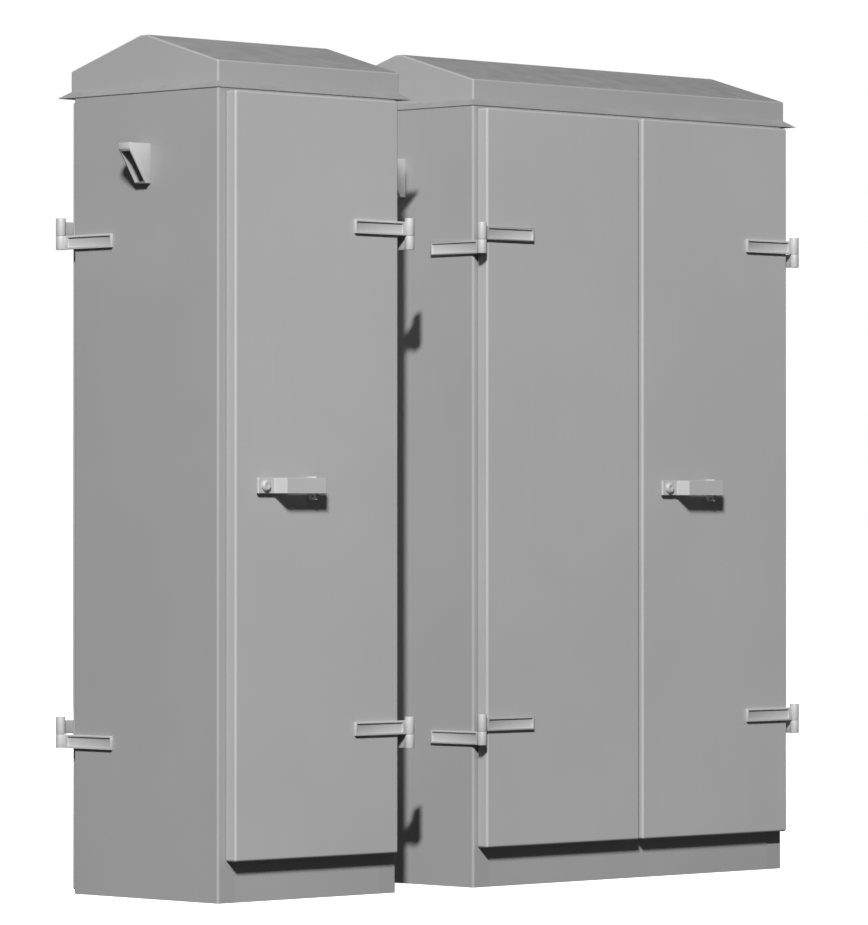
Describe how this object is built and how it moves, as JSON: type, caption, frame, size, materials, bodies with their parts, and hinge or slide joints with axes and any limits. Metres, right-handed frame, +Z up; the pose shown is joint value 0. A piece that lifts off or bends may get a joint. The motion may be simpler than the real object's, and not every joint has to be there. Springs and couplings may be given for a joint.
{
  "type": "pad-mounted equipment cabinet set",
  "caption": "Outdoor sheet-steel cabinets on a pad: gabled roofs with drip lips, strap-hinged doors with cranked lever locks, vent hoods, and transformer and switchgear inside.",
  "frame": {"origin": "on the ground, in the middle of the whole set", "axes": "+X to the right along the fronts, +Y to the rear, +Z up"},
  "size_m": [2.153, 0.683, 2.1],
  "materials": {
    "cabinet_paint": "satin polyester powder coat, light grey",
    "roof_paint": "satin polyester powder coat, light grey, dulled by weather where it lies level",
    "door_paint": "satin polyester powder coat, light grey",
    "hardware_paint": "painted hinges and levers",
    "zinc_steel": "bright zinc plated",
    "galvanised": "hot-dip galvanised",
    "seal_rubber": "black EPDM",
    "core_steel": "varnished silicon steel laminations",
    "coil_resin": "cast epoxy",
    "copper": "bare copper",
    "insulator_resin": "moulded polyester",
    "breaker_case": "moulded black",
    "toggle_plastic": "moulded black"
  },
  "bodies": {
    "root": {"narrow_side_walls": "cabinet_paint", "wide_side_walls": "cabinet_paint", "narrow_front_frame": "cabinet_paint", "narrow_rear_frame": "cabinet_paint", "wide_front_frame": "cabinet_paint", "wide_rear_panel": "cabinet_paint", "rear_panel_bolts": "zinc_steel", "floor_plates": "galvanised", "base_rails": "galvanised", "narrow_roof": "roof_paint", "wide_roof": "roof_paint", "vent_hoods": "hardware_paint", "vent_screens": "galvanised", "door_seals": "seal_rubber", "link_duct": "cabinet_paint", "frame_hinge_leaves": "hardware_paint", "hinge_pins": "zinc_steel", "rod_keepers": "cabinet_paint", "transformer_core": "core_steel", "transformer_coils": "coil_resin", "core_clamps": "galvanised", "coil_terminals": "copper", "low_voltage_busbars": "copper", "busbar_supports": "insulator_resin", "equipment_plate": "galvanised", "main_breaker": "breaker_case", "earth_bars": "copper"},
    "narrow_front_door": {"narrow_front_door": "door_paint", "narrow_front_door_leaves": "hardware_paint", "narrow_escutcheon": "hardware_paint", "narrow_padlock_staple": "hardware_paint", "narrow_lock_case": "zinc_steel", "narrow_rod_guides": "zinc_steel"},
    "wide_right_door": {"wide_right_door": "door_paint", "wide_right_door_leaves": "hardware_paint", "wide_escutcheon": "hardware_paint", "wide_padlock_staple": "hardware_paint", "wide_lock_case": "zinc_steel", "wide_rod_guides": "zinc_steel"},
    "wide_left_door": {"wide_left_door": "door_paint", "wide_left_door_leaves": "hardware_paint", "shoot_bolt_guides": "zinc_steel"},
    "narrow_rear_door": {"narrow_rear_door": "door_paint", "narrow_rear_door_leaves": "hardware_paint"},
    "narrow_lever": {"narrow_lever": "hardware_paint", "narrow_lever_bolt": "hardware_paint", "narrow_pinion_spindle": "zinc_steel"},
    "wide_lever": {"wide_lever": "hardware_paint", "wide_lever_bolt": "hardware_paint", "wide_pinion_spindle": "zinc_steel"},
    "rear_lever": {"rear_lever": "hardware_paint", "rear_lever_spindle": "hardware_paint", "rear_cam_tongue": "zinc_steel"},
    "narrow_upper_rod": {"narrow_upper_rod": "zinc_steel"},
    "narrow_lower_rod": {"narrow_lower_rod": "zinc_steel"},
    "wide_upper_rod": {"wide_upper_rod": "zinc_steel"},
    "wide_lower_rod": {"wide_lower_rod": "zinc_steel"},
    "top_shoot_bolt": {"top_shoot_bolt": "zinc_steel"},
    "bottom_shoot_bolt": {"bottom_shoot_bolt": "zinc_steel"},
    "breaker_toggle": {"breaker_toggle": "toggle_plastic"}
  },
  "joints": [
    {"name": "narrow_front_door_swing", "type": "hinge", "parent": "root", "child": "narrow_front_door", "pos_m": [-0.404, -0.3025, 1], "axis": [0, 0, 1], "range_deg": [0, 95]},
    {"name": "narrow_rear_door_swing", "type": "hinge", "parent": "root", "child": "narrow_rear_door", "pos_m": [-1.016, 0.3025, 1], "axis": [0, 0, 1], "range_deg": [0, 95]},
    {"name": "wide_left_door_swing", "type": "hinge", "parent": "root", "child": "wide_left_door", "pos_m": [-0.151, -0.3025, 1], "axis": [0, 0, -1], "range_deg": [0, 95]},
    {"name": "wide_right_door_swing", "type": "hinge", "parent": "root", "child": "wide_right_door", "pos_m": [1.016, -0.3025, 1], "axis": [0, 0, 1], "range_deg": [0, 95]},
    {"name": "narrow_lever_turn", "type": "hinge", "parent": "narrow_front_door", "child": "narrow_lever", "pos_m": [-0.8945, -0.2975, 1.003], "axis": [0, 1, 0], "range_deg": [0, 90]},
    {"name": "wide_lever_turn", "type": "hinge", "parent": "wide_right_door", "child": "wide_lever", "pos_m": [0.5265, -0.2975, 1.003], "axis": [0, 1, 0], "range_deg": [0, 90]},
    {"name": "rear_lever_turn", "type": "hinge", "parent": "narrow_rear_door", "child": "rear_lever", "pos_m": [-0.5255, 0.2975, 1.003], "axis": [0, -1, 0], "range_deg": [0, 90]},
    {"name": "narrow_upper_rod_slide", "type": "slide", "parent": "narrow_front_door", "child": "narrow_upper_rod", "axis": [0, 0, 1], "range_m": [0, 0.019]},
    {"name": "narrow_lower_rod_slide", "type": "slide", "parent": "narrow_front_door", "child": "narrow_lower_rod", "axis": [0, 0, -1], "range_m": [0, 0.019]},
    {"name": "wide_upper_rod_slide", "type": "slide", "parent": "wide_right_door", "child": "wide_upper_rod", "axis": [0, 0, 1], "range_m": [0, 0.019]},
    {"name": "wide_lower_rod_slide", "type": "slide", "parent": "wide_right_door", "child": "wide_lower_rod", "axis": [0, 0, -1], "range_m": [0, 0.019]},
    {"name": "top_shoot_bolt_slide", "type": "slide", "parent": "wide_left_door", "child": "top_shoot_bolt", "axis": [0, 0, 1], "range_m": [0, 0.018]},
    {"name": "bottom_shoot_bolt_slide", "type": "slide", "parent": "wide_left_door", "child": "bottom_shoot_bolt", "axis": [0, 0, -1], "range_m": [0, 0.018]},
    {"name": "breaker_toggle_throw", "type": "hinge", "parent": "root", "child": "breaker_toggle", "pos_m": [-0.71, 0.0555, 1.25], "axis": [1, 0, 0], "range_deg": [0, 50]}
  ],
  "couplings": [
    {"joint": "narrow_upper_rod_slide", "follows": "narrow_lever_turn", "m_per_rad": 0.012},
    {"joint": "narrow_lower_rod_slide", "follows": "narrow_lever_turn", "m_per_rad": 0.012},
    {"joint": "wide_upper_rod_slide", "follows": "wide_lever_turn", "m_per_rad": 0.012},
    {"joint": "wide_lower_rod_slide", "follows": "wide_lever_turn", "m_per_rad": 0.012}
  ]
}
